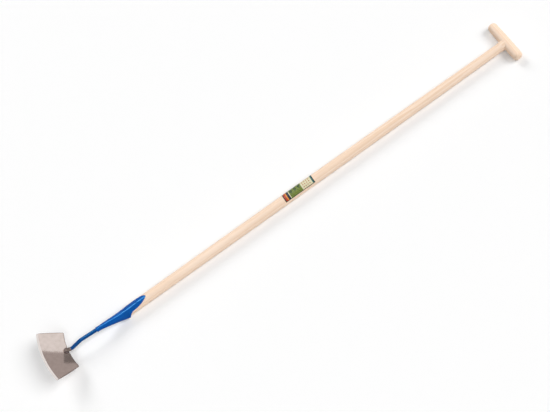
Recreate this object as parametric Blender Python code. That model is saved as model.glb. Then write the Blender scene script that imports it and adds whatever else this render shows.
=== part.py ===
"""A dutch hoe: a push blade on a swan neck, a rolled socket, and an ash shaft with a crosspiece.

Lengths are in metres and angles in degrees. The tool is modelled in its own axes. X runs along
the shaft towards the crosspiece, with 0 at the rim of the socket. Y runs across the tool, and Z
points to the side that faces up in use. One empty then turns the finished tool until it lies on
the ground, blade up, with the ground at Z = 0.
"""

import math

import bmesh
import bpy
from mathutils import Vector

# Clearance between two pieces that seat on each other
SEAT_GAP = 0.0003

# Blade: a flat plate with a rounded front edge that is ground from above
BLADE_WIDTH = 0.1610
BLADE_REAR_WIDTH = 0.1180
BLADE_DEPTH = 0.0750
BLADE_THICKNESS = 0.0025
FRONT_BULGE = 0.0120
REAR_HOLLOW = 0.0092
SIDE_BULGE = 0.0012
GRIND_WIDTH = 0.0055
EDGE_THICKNESS = 0.0005
BLADE_CORNER_RADIUS = 0.0030
BLADE_ANGLE = 41.5

# Neck: a round bar from the socket, over a crown and down to a flattened foot lapped on the blade
ROD_RADIUS = 0.0056
ROD_IN_SOCKET = 0.0300
THROAT_LENGTH = 0.0060
THROAT_BEND = 0.0400
CROWN_AHEAD = 0.0560
CROWN_RISE = 0.0058
CROWN_BEND = 0.0260
HEEL_AHEAD = 0.1043
HEEL_DROP = 0.0014
HEEL_BEND = 0.0120
FOOT_TAIL = 0.0090
FOOT_LAP = 0.0105
FOOT_HALF_WIDTH = 0.0060
FOOT_HALF_HEIGHT = 0.0032
FOOT_DRAW = 0.0150
BLADE_BEAD = 0.0013
BEAD_RIPPLE = 0.0001
SOCKET_BEAD = 0.0040

# Socket: sheet rolled to a cone, split along its underside, with a slanted rim and a tongue on top
SHEET = 0.0014
MOUTH_RADIUS = 0.0164
CONE_LENGTH = 0.0940
SLEEVE_LENGTH = 0.0090
SOCKET_RISE = 0.0176
SOCKET_DROP = 0.0014
SLEEVE_SLOPE = 0.16
MOUTH_SAG = 0.0050
SAG_LENGTH = 0.0600
SAG_HALF_ANGLE = 62.0
SEAM_GAP = 0.0014
RIM_SLANT = 0.0314
RIM_LEVEL_ANGLE = 77.0
TONGUE_LENGTH = 0.0660
TONGUE_HALF_ANGLE = 57.0
TONGUE_POINT = 1.40
TONGUE_SHOULDER = 2.50
ROOT_FILLET = 0.0060
ROOT_ANGLE = 24.0

# Nail through the tongue into the shaft
NAIL_AT = 0.0340
NAIL_HEAD_RADIUS = 0.0032
NAIL_HEAD_HEIGHT = 0.0016
NAIL_RADIUS = 0.0014
NAIL_LENGTH = 0.0220
NAIL_POINT_LENGTH = 0.0035
NAIL_POINT_RADIUS = 0.0003

# Shaft: ash, let into the socket at one end and tenoned into the crosspiece at the other
SHAFT_RADIUS = 0.0152
SHAFT_TOP_RADIUS = 0.0123
SHAFT_TAPER = 3.0
SHAFT_IN_SOCKET = 0.0620
GRIP_FROM_RIM = 1.2880
GRIP_FLARE = 0.0014
FLARE_LENGTH = 0.0180
TENON_RADIUS = 0.0080

# Crosspiece and the wedge that spreads the tenon in it
GRIP_LENGTH = 0.1330
GRIP_RADIUS = 0.0142
GRIP_END_RADIUS = 0.0136
GRIP_END_ROUND = 0.0090
GRIP_OFFSET = 0.0060
WEDGE_LENGTH = 0.0190
WEDGE_THICK_END = 0.0026
WEDGE_THIN_END = 0.0009

# Label glued on the shaft, turned a little to the left
LABEL_START = 0.5440
LABEL_LENGTH = 0.0990
LABEL_THICKNESS = 0.0003
LABEL_HALF_WRAP = 80.0
LABEL_TURN = 18.0

# How many sides stand in for a round shape
ROUND_SIDES = 28
ROD_SIDES = 20
SMALL_SIDES = 12

ACROSS = Vector((0.0, 1.0, 0.0))


def clear_scene():
    for obj in list(bpy.data.objects):
        bpy.data.objects.remove(obj)


def make_material(name, colour, roughness, metallic):
    material = bpy.data.materials.new(name)
    material.use_nodes = True
    shader = material.node_tree.nodes["Principled BSDF"]
    shader.inputs["Base Color"].default_value = (*colour, 1.0)
    shader.inputs["Roughness"].default_value = roughness
    shader.inputs["Metallic"].default_value = metallic
    return material


def add_piece(name, bm, material, root, sharp_angle=35.0):
    bmesh.ops.recalc_face_normals(bm, faces=bm.faces)
    mesh = bpy.data.meshes.new(name)
    bm.to_mesh(mesh)
    bm.free()
    mesh.materials.append(material)
    mesh.shade_smooth()
    mesh.set_sharp_from_angle(angle=math.radians(sharp_angle))
    piece = bpy.data.objects.new(name, mesh)
    bpy.context.scene.collection.objects.link(piece)
    piece.parent = root
    return piece


def add_cutter(name, bm, root):
    cutter = add_piece(name, bm, make_material(name, (0.5, 0.5, 0.5), 0.5, 0.0), root)
    cutter.hide_render = True
    cutter.display_type = "WIRE"
    return cutter


def cut(piece, cutter):
    modifier = piece.modifiers.new("cut by " + cutter.name, "BOOLEAN")
    modifier.operation = "DIFFERENCE"
    modifier.solver = "EXACT"
    modifier.object = cutter


def skin(bm, rings, around=True):
    """Quads between rings of points. Returns the rings as vertices."""
    rows = [[bm.verts.new(point) for point in ring] for ring in rings]
    count = len(rows[0])
    for low, high in zip(rows, rows[1:]):
        for i in range(count if around else count - 1):
            j = (i + 1) % count
            bm.faces.new((low[i], low[j], high[j], high[i]))
    return rows


def skin_closed(bm, rings):
    """A solid through the rings, with a flat face over the first and the last."""
    rows = skin(bm, rings)
    bm.faces.new(rows[0])
    bm.faces.new(rows[-1])


def oval(centre, up, side, sides):
    """Points round a centre, the first one at up. The vectors up and side are the half axes."""
    turns = [2.0 * math.pi * i / sides for i in range(sides)]
    return [centre + math.cos(a) * up + math.sin(a) * side for a in turns]


def circle(centre, up, side, radius, sides=ROUND_SIDES):
    return oval(centre, radius * up, radius * side, sides)


def steps(start, end, count):
    return [start + (end - start) * i / count for i in range(count + 1)]


def smooth_step(t):
    t = min(max(t, 0.0), 1.0)
    return t * t * (3.0 - 2.0 * t)


def upright(slope):
    """The direction square to a line in the XZ plane that climbs by slope."""
    return Vector((-slope, 0.0, 1.0)).normalized()


# Socket, as a centre line that climbs towards the neck and a radius along it
def sleeve_radius():
    return ROD_RADIUS + SEAT_GAP + SHEET


def tongue_lift(x):
    """From 0 at the rim to 1 at the tongue's tip, where the sheet lies on the bare shaft."""
    return smooth_step(x / TONGUE_LENGTH)


def socket_height(x):
    """Height of the socket's centre line: level at the rim, and straight through the sleeve."""
    if x >= 0.0:
        return -SOCKET_DROP * (1.0 - tongue_lift(x))
    t = min(-x / CONE_LENGTH, 1.0)
    climb = SOCKET_RISE * smooth_step(t) + SLEEVE_SLOPE * CONE_LENGTH * (t**3 - t**2)
    return climb - SOCKET_DROP + SLEEVE_SLOPE * max(-x - CONE_LENGTH, 0.0)


def socket_slope(x):
    if x >= 0.0:
        return 0.0
    t = min(-x / CONE_LENGTH, 1.0)
    climb = SOCKET_RISE / CONE_LENGTH * 6.0 * t * (1.0 - t)
    return -climb - SLEEVE_SLOPE * (3.0 * t**2 - 2.0 * t)


def socket_radius(x):
    """Outer radius of the round part: the sleeve, a straight cone, then the tongue on the shaft."""
    if x >= 0.0:
        on_shaft = SHAFT_RADIUS + SEAT_GAP + SHEET
        return MOUTH_RADIUS + (on_shaft - MOUTH_RADIUS) * tongue_lift(x)
    narrowed = min(-x / CONE_LENGTH, 1.0)
    return MOUTH_RADIUS - (MOUTH_RADIUS - sleeve_radius()) * narrowed


def socket_sag(x, angle):
    """How far the underside of the cone stands away from the wood towards the rim."""
    below = smooth_step((abs(angle) - SAG_HALF_ANGLE) / SAG_HALF_ANGLE)
    return MOUTH_SAG * below * max(1.0 + min(x, 0.0) / SAG_LENGTH, 0.0) ** 2


def socket_centre(x):
    return Vector((x, 0.0, socket_height(x)))


def sheet_point(x, angle, inward):
    """A point of the rolled sheet. The two edges under the socket stop short of each other."""
    radius = socket_radius(x) + socket_sag(x, angle) - inward
    open_angle = math.degrees(0.5 * SEAM_GAP / radius)
    turn = math.radians(angle * (180.0 - open_angle) / 180.0)
    up = upright(socket_slope(x))
    out = math.cos(turn) * up + math.sin(turn) * ACROSS
    return socket_centre(x) + radius * out


def rim_reach(angle):
    """Where a slanted cut ends the sheet at this angle from the top. It crosses X = 0 once a side."""
    level = math.cos(math.radians(RIM_LEVEL_ANGLE))
    return 0.5 * RIM_SLANT * (math.cos(math.radians(angle)) - level)


def sheet_reach(angle):
    """Where the sheet ends at this angle: the slanted rim, with the tongue and its fillets on it."""
    angle = abs(angle)
    if angle < TONGUE_HALF_ANGLE:
        narrowed = 1.0 - (angle / TONGUE_HALF_ANGLE) ** TONGUE_POINT
        tongue = (TONGUE_LENGTH - rim_reach(0.0)) * narrowed ** (1.0 / TONGUE_SHOULDER)
        return rim_reach(angle) + max(tongue, ROOT_FILLET)
    beside = min((angle - TONGUE_HALF_ANGLE) / ROOT_ANGLE, 1.0)
    return rim_reach(angle) + ROOT_FILLET * (1.0 - beside) ** 2


def socket_columns():
    """Angles of the sheet's columns from the top, closer together along the tongue's sides."""
    root_end = TONGUE_HALF_ANGLE + ROOT_ANGLE
    tongue = [TONGUE_HALF_ANGLE * math.sin(math.radians(t)) for t in steps(0.0, 90.0, 18)]
    root = steps(TONGUE_HALF_ANGLE, root_end, 5)[1:]
    half = tongue + root + steps(root_end, 180.0, 11)[1:]
    return [-a for a in reversed(half[1:])] + half


def socket_rows(inward):
    """Rows of points along the sheet. The last ones fan out to the shape of the rim."""
    columns = socket_columns()
    last_square = -RIM_SLANT
    stations = [-CONE_LENGTH - SLEEVE_LENGTH] + steps(-CONE_LENGTH, last_square, 6)
    rows = [[sheet_point(x, a, inward) for a in columns] for x in stations]
    for share in steps(0.0, 1.0, 12)[1:]:
        ends = [last_square + (sheet_reach(a) - last_square) * share for a in columns]
        rows.append([sheet_point(x, a, inward) for x, a in zip(ends, columns)])
    return rows


def close_sheet(bm, outer, inner):
    """Faces along the four edges of a sheet, between its outer and its inner rows."""
    for high, low in ((outer[0], inner[0]), (outer[-1], inner[-1])):
        for i in range(len(high) - 1):
            bm.faces.new((high[i], high[i + 1], low[i + 1], low[i]))
    for i in (0, -1):
        for a, b, c, d in zip(outer, outer[1:], inner[1:], inner):
            bm.faces.new((a[i], b[i], c[i], d[i]))


def make_socket(material, root):
    bm = bmesh.new()
    outer = skin(bm, socket_rows(0.0), around=False)
    inner = skin(bm, socket_rows(SHEET), around=False)
    close_sheet(bm, outer, inner)
    return add_piece("socket", bm, material, root)


# Shaft
def shaft_radius(x):
    """Radius of the bare shaft, which thins towards the crosspiece and flares a little at it."""
    along = min(max(x / GRIP_FROM_RIM, 0.0), 1.0)
    thinned = SHAFT_RADIUS - (SHAFT_RADIUS - SHAFT_TOP_RADIUS) * along**SHAFT_TAPER
    shoulder = GRIP_FROM_RIM - GRIP_RADIUS
    flare = max(1.0 - max(shoulder - x, 0.0) / FLARE_LENGTH, 0.0)
    return thinned + GRIP_FLARE * flare * flare


def shaft_ring(x):
    """A section of the wood. As far as the tongue's tip it follows the sheet."""
    if x > TONGUE_LENGTH:
        return circle(Vector((x, 0.0, 0.0)), upright(0.0), ACROSS, shaft_radius(x))
    seated = socket_radius(x) - SHEET - SEAT_GAP
    return circle(socket_centre(x), upright(socket_slope(x)), ACROSS, seated)


def grip_face(z, gap):
    """Half the crosspiece's thickness at height z, as it meets the end of the shaft."""
    reach = GRIP_RADIUS + gap
    return math.sqrt(max(reach * reach - z * z, 0.0))


def make_shaft(material, root):
    end = -SHAFT_IN_SOCKET
    shoulder = GRIP_FROM_RIM - GRIP_RADIUS
    stations = steps(end, 0.0, 8) + steps(0.0, TONGUE_LENGTH, 6)[1:]
    stations += steps(TONGUE_LENGTH, shoulder - FLARE_LENGTH, 12)[1:]
    stations += steps(shoulder - FLARE_LENGTH, shoulder - SEAT_GAP, 5)[1:-1]
    rings = [shaft_ring(x) for x in stations]
    up = upright(0.0)
    for radius in steps(shaft_radius(shoulder), TENON_RADIUS, 5):
        ring = circle(Vector((GRIP_FROM_RIM, 0.0, 0.0)), up, ACROSS, radius)
        for point in ring:
            point.x -= grip_face(point.z, SEAT_GAP)
        rings.append(ring)
    for share in (1.0, 0.66, 0.33):
        ring = circle(Vector((GRIP_FROM_RIM, 0.0, 0.0)), up, ACROSS, TENON_RADIUS * share)
        for point in ring:
            point.x += grip_face(point.z, 0.0)
        rings.append(ring)
    bm = bmesh.new()
    rows = skin(bm, rings)
    bm.faces.new(rows[0])
    tip = bm.verts.new((GRIP_FROM_RIM + GRIP_RADIUS, 0.0, 0.0))
    last = rows[-1]
    for i in range(len(last)):
        bm.faces.new((last[i], last[(i + 1) % len(last)], tip))
    return add_piece("shaft", bm, material, root, sharp_angle=50.0)


# Crosspiece, turned round Y
def grip_profile():
    """Radius against distance from the middle, with rounded ends."""
    half = 0.5 * GRIP_LENGTH
    straight = half - GRIP_END_ROUND
    profile = []
    for y in steps(0.0, straight, 5):
        profile.append((y, GRIP_RADIUS + (GRIP_END_RADIUS - GRIP_RADIUS) * (y / straight) ** 2))
    flat_end = GRIP_END_RADIUS - GRIP_END_ROUND
    for angle in steps(0.0, 90.0, 6)[1:]:
        turn = math.radians(angle)
        y = straight + GRIP_END_ROUND * math.sin(turn)
        profile.append((y, flat_end + GRIP_END_ROUND * math.cos(turn)))
    return profile


def make_grip(material, root):
    half = grip_profile()
    profile = [(-y, radius) for y, radius in reversed(half[1:])] + half
    side = Vector((1.0, 0.0, 0.0))
    rings = []
    for y, radius in profile:
        centre = Vector((GRIP_FROM_RIM, GRIP_OFFSET + y, 0.0))
        rings.append(circle(centre, upright(0.0), side, radius))
    bm = bmesh.new()
    skin_closed(bm, rings)
    grip = add_piece("t_grip", bm, material, root)
    mortise = bmesh.new()
    ends = (GRIP_FROM_RIM - 2.0 * GRIP_RADIUS, GRIP_FROM_RIM + 2.0 * GRIP_RADIUS)
    radius = TENON_RADIUS + SEAT_GAP
    skin_closed(mortise, [circle(Vector((x, 0, 0)), upright(0.0), ACROSS, radius) for x in ends])
    cut(grip, add_cutter("mortise_cutter", mortise, root))
    return grip


def wedge_rings(half_height, grow, beyond):
    """Sections of the wedge along Z, thick at the crosspiece's back and thin inside the tenon."""
    start = GRIP_FROM_RIM + GRIP_RADIUS - WEDGE_LENGTH
    rings = []
    for z in steps(-half_height, half_height, 8):
        ring = []
        for x in (start - grow, GRIP_FROM_RIM + grip_face(z, 0.0) + beyond):
            driven = (x - start) / WEDGE_LENGTH
            half = 0.5 * (WEDGE_THIN_END + (WEDGE_THICK_END - WEDGE_THIN_END) * driven) + grow
            ring.append((Vector((x, -half, z)), Vector((x, half, z))))
        (a, d), (b, c) = ring
        rings.append([a, b, c, d])
    return rings


def make_wedge(material, shaft, root):
    bm = bmesh.new()
    skin_closed(bm, wedge_rings(TENON_RADIUS - SEAT_GAP, 0.0, 0.0))
    wedge = add_piece("tenon_wedge", bm, material, root)
    kerf = bmesh.new()
    skin_closed(kerf, wedge_rings(TENON_RADIUS + SEAT_GAP, SEAT_GAP, GRIP_RADIUS))
    cut(shaft, add_cutter("kerf_cutter", kerf, root))
    return wedge


# Nail through the tongue
def turned_down(profile, x):
    """Rings round a vertical line, from (radius, height) pairs."""
    side = Vector((1.0, 0.0, 0.0))
    return [circle(Vector((x, 0.0, z)), ACROSS, side, radius, SMALL_SIDES) for radius, z in profile]


def make_nail(material, socket, shaft, root):
    seat = socket_height(NAIL_AT) + socket_radius(NAIL_AT) + SEAT_GAP
    tip = seat - NAIL_LENGTH
    profile = []
    for angle in steps(10.0, 85.0, 3):
        turn = math.radians(angle)
        profile.append((NAIL_HEAD_RADIUS * math.sin(turn), seat + NAIL_HEAD_HEIGHT * math.cos(turn)))
    profile += [(NAIL_HEAD_RADIUS, seat), (NAIL_RADIUS, seat)]
    profile += [(NAIL_RADIUS, tip + NAIL_POINT_LENGTH), (NAIL_POINT_RADIUS, tip)]
    bm = bmesh.new()
    skin_closed(bm, turned_down(profile, NAIL_AT))
    nail = add_piece("socket_nail", bm, material, root)
    hole = bmesh.new()
    radius = NAIL_RADIUS + SEAT_GAP
    ends = [(radius, seat + NAIL_HEAD_RADIUS), (radius, tip - SEAT_GAP)]
    skin_closed(hole, turned_down(ends, NAIL_AT))
    cutter = add_cutter("nail_hole_cutter", hole, root)
    cut(socket, cutter)
    cut(shaft, cutter)
    return nail


# Blade, in its own axes: X to the rear, 0 at the middle of the rear edge, Z square to the plate
def blade_heel():
    return sleeve_end() - Vector((HEEL_AHEAD, 0.0, HEEL_DROP))


def blade_axes():
    turn = math.radians(BLADE_ANGLE)
    rearward = Vector((math.cos(turn), 0.0, -math.sin(turn)))
    return rearward, Vector((math.sin(turn), 0.0, math.cos(turn)))


def arc_drop(y, half, drop):
    """How far a shallow round edge falls back at y, from 0 in the middle to drop at half."""
    radius = (half * half + drop * drop) / (2.0 * drop)
    return radius - math.sqrt(radius * radius - y * y)


def blade_corners():
    """Half width and X of the front corners, then of the rear corners."""
    return 0.5 * BLADE_WIDTH, REAR_HOLLOW - BLADE_DEPTH, 0.5 * BLADE_REAR_WIDTH, REAR_HOLLOW


def side_point(t):
    """A point of the blade's side, from the front corner at 0 to the rear corner at 1."""
    front_y, front_x, rear_y, rear_x = blade_corners()
    y = front_y + (rear_y - front_y) * t + 4.0 * SIDE_BULGE * t * (1.0 - t)
    return front_x + (rear_x - front_x) * t, y


def rounded(points, corners):
    """The closed outline with each listed corner replaced by a short arc of points."""
    result = []
    for i, point in enumerate(points):
        if i not in corners:
            result.append(point)
            continue
        here = Vector(point)
        before = (Vector(points[i - 1]) - here).normalized()
        after = (Vector(points[(i + 1) % len(points)]) - here).normalized()
        half_angle = 0.5 * before.angle(after)
        reach = BLADE_CORNER_RADIUS / math.tan(half_angle)
        start, end = here + before * reach, here + after * reach
        for t in steps(0.0, 1.0, 4):
            curve = start * (1 - t) ** 2 + here * 2 * t * (1 - t) + end * t**2
            result.append((curve.x, curve.y))
    return result


def blade_outline(grind):
    """The plate's outline, with the front edge moved back by grind."""
    front_y, front_x, rear_y, rear_x = blade_corners()
    share = grind / BLADE_DEPTH
    start_x, start_y = side_point(share)
    points = []
    for y in steps(start_y, -start_y, 16):
        bulge = FRONT_BULGE - arc_drop(y, start_y, FRONT_BULGE)
        points.append((start_x - bulge, y))
    front_corners = [0, len(points) - 1]
    for t in steps(share, 1.0, 4)[1:]:
        x, y = side_point(t)
        points.append((x, -y))
    rear_corners = [len(points) - 1]
    for y in steps(-rear_y, rear_y, 12)[1:]:
        points.append((arc_drop(y, rear_y, REAR_HOLLOW), y))
    rear_corners.append(len(points) - 1)
    for t in reversed(steps(share, 1.0, 4)[1:-1]):
        points.append(side_point(t))
    return rounded(points, front_corners + rear_corners)


def make_blade(material, root):
    levels = ((0.0, -BLADE_THICKNESS), (0.0, EDGE_THICKNESS - BLADE_THICKNESS), (GRIND_WIDTH, 0.0))
    rings = []
    for grind, z in levels:
        rings.append([Vector((x, y, z)) for x, y in blade_outline(grind)])
    bm = bmesh.new()
    skin_closed(bm, rings)
    blade = add_piece("blade", bm, material, root, sharp_angle=4.0)
    blade.location = blade_heel()
    blade.rotation_euler = (0.0, math.radians(BLADE_ANGLE), 0.0)
    return blade


# Neck
def bent_path(corners, bends):
    """A path through the corners with each inner one rounded to its bend radius."""
    path = [corners[0]]
    for before, here, after, radius in zip(corners, corners[1:], corners[2:], bends):
        back = (before - here).normalized()
        on = (after - here).normalized()
        half_angle = 0.5 * back.angle(on)
        reach = radius / math.tan(half_angle)
        centre = here + (back + on).normalized() * radius / math.sin(half_angle)
        start, end = here + back * reach - centre, here + on * reach - centre
        turn = start.angle(end)
        for t in steps(0.0, 1.0, 7):
            mix = math.sin((1.0 - t) * turn) * start + math.sin(t * turn) * end
            path.append(centre + mix / math.sin(turn))
    path.append(corners[-1])
    return path


def sweep(bm, path, sizes, square, sides):
    """A bar along a flat path. Square is the way out of the path's plane, and each size is a pair:
    the bar's half thickness in that plane and its half thickness along square."""
    rings = []
    for i, (point, (high, wide)) in enumerate(zip(path, sizes)):
        along = (path[min(i + 1, len(path) - 1)] - path[max(i - 1, 0)]).normalized()
        rings.append(oval(point, high * along.cross(square), wide * square, sides))
    skin_closed(bm, rings)


def sleeve_end():
    return socket_centre(-CONE_LENGTH - SLEEVE_LENGTH)


def sleeve_axis():
    """Unit vector along the sleeve, towards the blade."""
    return Vector((-1.0, 0.0, -socket_slope(-CONE_LENGTH))).normalized()


def foot_line():
    """A point on the axis of the bar's foot over the rear edge, and the way it leaves the blade."""
    rearward, square = blade_axes()
    return blade_heel() + square * (FOOT_HALF_HEIGHT + SEAT_GAP), rearward


def neck_path():
    over_heel, rearward = foot_line()
    corners = [
        over_heel - rearward * (FOOT_LAP - FOOT_HALF_WIDTH),
        over_heel + rearward * FOOT_TAIL,
        sleeve_end() + Vector((-CROWN_AHEAD, 0.0, CROWN_RISE)),
        sleeve_end() + sleeve_axis() * THROAT_LENGTH,
        sleeve_end() - sleeve_axis() * ROD_IN_SOCKET,
    ]
    return bent_path(corners, (HEEL_BEND, CROWN_BEND, THROAT_BEND))


def make_neck(material, root):
    path = neck_path()
    over_heel, rearward = foot_line()
    points, sizes = [], []
    for angle in steps(80.0, 20.0, 3):
        turn = math.radians(angle)
        points.append(path[0] - rearward * FOOT_HALF_WIDTH * math.sin(turn))
        sizes.append((FOOT_HALF_HEIGHT * math.cos(turn), FOOT_HALF_WIDTH * math.cos(turn)))
    for point in path:
        round_again = smooth_step((point - over_heel).dot(rearward) / FOOT_DRAW)
        high = FOOT_HALF_HEIGHT + (ROD_RADIUS - FOOT_HALF_HEIGHT) * round_again
        wide = FOOT_HALF_WIDTH + (ROD_RADIUS - FOOT_HALF_WIDTH) * round_again
        sizes.append((high, wide))
    bm = bmesh.new()
    sweep(bm, points + path, sizes, ACROSS, ROD_SIDES)
    return add_piece("neck", bm, material, root)


def make_blade_weld(material, root):
    """A bead that lies in the corner between the foot and the plate, round the foot's end."""
    over_heel, rearward = foot_line()
    _, square = blade_axes()
    down_to_bead = FOOT_HALF_HEIGHT - BLADE_BEAD
    offset = FOOT_HALF_WIDTH + BLADE_BEAD
    straight = FOOT_LAP - FOOT_HALF_WIDTH
    dome = over_heel - rearward * straight - square * down_to_bead
    to_edge = rearward * (straight - BLADE_BEAD)
    path = [dome + to_edge + ACROSS * offset]
    for angle in steps(0.0, 180.0, 20):
        turn = math.radians(angle)
        path.append(dome + offset * (math.cos(turn) * ACROSS - math.sin(turn) * rearward))
    path.append(dome + to_edge - ACROSS * offset)
    radii = [BLADE_BEAD - BEAD_RIPPLE * (i % 2) for i in range(len(path))]
    radii[0] = radii[-1] = 0.5 * BLADE_BEAD
    bm = bmesh.new()
    sweep(bm, path, [(radius, radius) for radius in radii], square, SMALL_SIDES)
    return add_piece("blade_weld", bm, material, root)


def make_socket_weld(material, root):
    """A fillet of weld round the bar, against the end of the sleeve."""
    axis = sleeve_axis()
    up = ACROSS.cross(axis)
    start = sleeve_end() + axis * SEAT_GAP
    inner = ROD_RADIUS + SEAT_GAP
    leg = sleeve_radius() - inner
    profile = [(0.0, inner), (0.0, inner + leg)]
    for angle in steps(18.0, 72.0, 3):
        turn = math.radians(angle)
        profile.append((SOCKET_BEAD * math.sin(turn), inner + leg * math.cos(turn)))
    profile.append((SOCKET_BEAD, inner))
    bm = bmesh.new()
    rings = [circle(start + axis * along, up, ACROSS, radius, ROD_SIDES) for along, radius in profile]
    skin(bm, rings + [rings[0]])
    bmesh.ops.remove_doubles(bm, verts=bm.verts, dist=0.000001)
    return add_piece("socket_weld", bm, material, root)


def label_rows(lift):
    first, last = LABEL_TURN - LABEL_HALF_WRAP, LABEL_TURN + LABEL_HALF_WRAP
    turns = [math.radians(a) for a in steps(first, last, ROUND_SIDES)]
    rows = []
    for x in steps(LABEL_START, LABEL_START + LABEL_LENGTH, 3):
        radius = shaft_radius(x) + lift
        rows.append([Vector((x, radius * math.sin(a), radius * math.cos(a))) for a in turns])
    return rows


def make_label(material, root):
    """A thin sheet bent round the upper half of the shaft."""
    bm = bmesh.new()
    outer = skin(bm, label_rows(SEAT_GAP + LABEL_THICKNESS), around=False)
    inner = skin(bm, label_rows(SEAT_GAP), around=False)
    close_sheet(bm, outer, inner)
    return add_piece("label", bm, material, root)


# Lying on the ground
def world_points(pieces):
    bpy.context.view_layer.update()
    graph = bpy.context.evaluated_depsgraph_get()
    points = []
    for piece in pieces:
        evaluated = piece.evaluated_get(graph)
        mesh = evaluated.to_mesh()
        points += [evaluated.matrix_world @ vertex.co for vertex in mesh.vertices]
        evaluated.to_mesh_clear()
    return points


def lay_down(root, pieces):
    """Turns the tool about Y until its head and its crosspiece are equally low, then centres it."""
    for _ in range(4):
        points = world_points(pieces)
        middle = 0.5 * (min(p.x for p in points) + max(p.x for p in points))
        head = min((p for p in points if p.x < middle), key=lambda p: p.z)
        grip = min((p for p in points if p.x >= middle), key=lambda p: p.z)
        root.rotation_euler.y += math.atan2(grip.z - head.z, grip.x - head.x)
    points = world_points(pieces)
    low = Vector([min(p[i] for p in points) for i in range(3)])
    high = Vector([max(p[i] for p in points) for i in range(3)])
    root.location -= Vector((0.5 * (low.x + high.x), 0.5 * (low.y + high.y), low.z))
    bpy.context.view_layer.update()


def main():
    clear_scene()
    stainless = make_material("stainless_plate", (0.42, 0.40, 0.39), 0.32, 1.0)
    bead_steel = make_material("heat_tinted_weld", (0.09, 0.06, 0.05), 0.55, 1.0)
    neck_paint = make_material("painted_bar", (0.004, 0.062, 0.30), 0.28, 0.0)
    socket_paint = make_material("painted_sheet", (0.004, 0.080, 0.36), 0.28, 0.0)
    weld_paint = make_material("painted_weld", (0.006, 0.055, 0.24), 0.40, 0.0)
    nail_paint = make_material("painted_nail", (0.020, 0.160, 0.55), 0.25, 0.0)
    shaft_ash = make_material("ash_shaft", (0.88, 0.71, 0.53), 0.45, 0.0)
    grip_ash = make_material("ash_crosspiece", (0.86, 0.68, 0.50), 0.45, 0.0)
    wedge_beech = make_material("beech_wedge", (0.55, 0.36, 0.20), 0.60, 0.0)
    label_paper = make_material("label_paper", (0.20, 0.28, 0.06), 0.40, 0.0)

    root = bpy.data.objects.new("hoe", None)
    bpy.context.scene.collection.objects.link(root)
    socket = make_socket(socket_paint, root)
    shaft = make_shaft(shaft_ash, root)
    pieces = [
        make_blade(stainless, root),
        make_blade_weld(bead_steel, root),
        make_neck(neck_paint, root),
        make_socket_weld(weld_paint, root),
        socket,
        make_nail(nail_paint, socket, shaft, root),
        shaft,
        make_grip(grip_ash, root),
        make_wedge(wedge_beech, shaft, root),
        make_label(label_paper, root),
    ]
    lay_down(root, pieces)


main()
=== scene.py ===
"""Looks of a dutch hoe that lies on a white floor, blade up, seen from high on its right side."""

import math

import bmesh
import bpy
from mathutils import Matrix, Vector


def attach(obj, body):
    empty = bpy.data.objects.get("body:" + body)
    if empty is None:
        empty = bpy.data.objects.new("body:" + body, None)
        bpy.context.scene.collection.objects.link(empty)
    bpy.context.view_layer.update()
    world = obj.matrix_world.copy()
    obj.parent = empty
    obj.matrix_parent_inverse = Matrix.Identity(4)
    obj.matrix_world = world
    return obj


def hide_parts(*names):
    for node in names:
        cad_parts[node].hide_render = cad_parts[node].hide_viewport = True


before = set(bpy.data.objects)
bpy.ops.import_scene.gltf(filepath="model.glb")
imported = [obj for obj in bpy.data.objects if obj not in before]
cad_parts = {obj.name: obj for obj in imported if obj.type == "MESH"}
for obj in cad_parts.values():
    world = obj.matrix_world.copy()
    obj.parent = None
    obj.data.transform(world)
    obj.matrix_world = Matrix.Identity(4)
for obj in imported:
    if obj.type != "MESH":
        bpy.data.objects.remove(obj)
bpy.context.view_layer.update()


# Blade. A flat plate of stainless steel, cut from rolled sheet and left bright. Its curved
# front edge is ground from above, and the heat of the weld has tinted it round the neck's foot.
RIM_LIES_AT = Vector((-0.5175484, 0.0, 0.0166268))
LYING_TILT = 0.107956
REAR_EDGE_MIDDLE = (-0.2073, 0.0, 0.01624)
BLADE_ANGLE = 41.5
GRIND_LEAN = 20.0
GRIND_LEAN_SLACK = 0.03
REAR_CURVE = 2.6
SIDE_SLANT = 0.29
SIDE_AT_HEEL = 0.0624
MARGIN_STARTS = 0.0020
MARGIN_IS_FULL = 0.0010
HEAT_AHEAD_OF_HEEL = 0.0063
HEAT_ABOVE_PLATE = 0.0020
HEAT_STARTS = 0.006
HEAT_ENDS = 0.013
HEAT_WANDERS = 0.006


def laid(x, y, z):
    """Where a point of the hoe lies. X runs along the shaft from the socket's rim towards the
    crosspiece, Y across it and Z up from its middle, before the hoe tilts to the floor."""
    turn = math.radians(LYING_TILT)
    return RIM_LIES_AT + Vector((x * math.cos(turn) + z * math.sin(turn), y,
                                 z * math.cos(turn) - x * math.sin(turn)))


def linear(hex_colour):
    """An sRGB hex colour as the linear colour that a shader takes."""
    values = [int(hex_colour[i:i + 2], 16) / 255.0 for i in (1, 3, 5)]
    return tuple(v / 12.92 if v <= 0.04045 else ((v + 0.055) / 1.055) ** 2.4 for v in values) + (1.0,)


def add_node(tree, kind, inputs=(), stops=(), **settings):
    """A node with its settings. Each input takes a value, or the output that feeds it, and a
    colour ramp takes the places and colours of its stops."""
    node = tree.nodes.new(kind)
    for name, value in settings.items():
        setattr(node, name, value)
    for socket, value in dict(inputs).items():
        if isinstance(value, bpy.types.NodeSocket):
            tree.links.new(value, node.inputs[socket])
        else:
            node.inputs[socket].default_value = value
    for i, (position, colour) in enumerate(stops):
        elements = node.color_ramp.elements
        element = elements[i] if i < len(elements) else elements.new(position)
        element.position = position
        element.color = colour
    return node


def grain(millimetres):
    """The scale of a noise whose patches have this size."""
    return 1000.0 / millimetres


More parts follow.
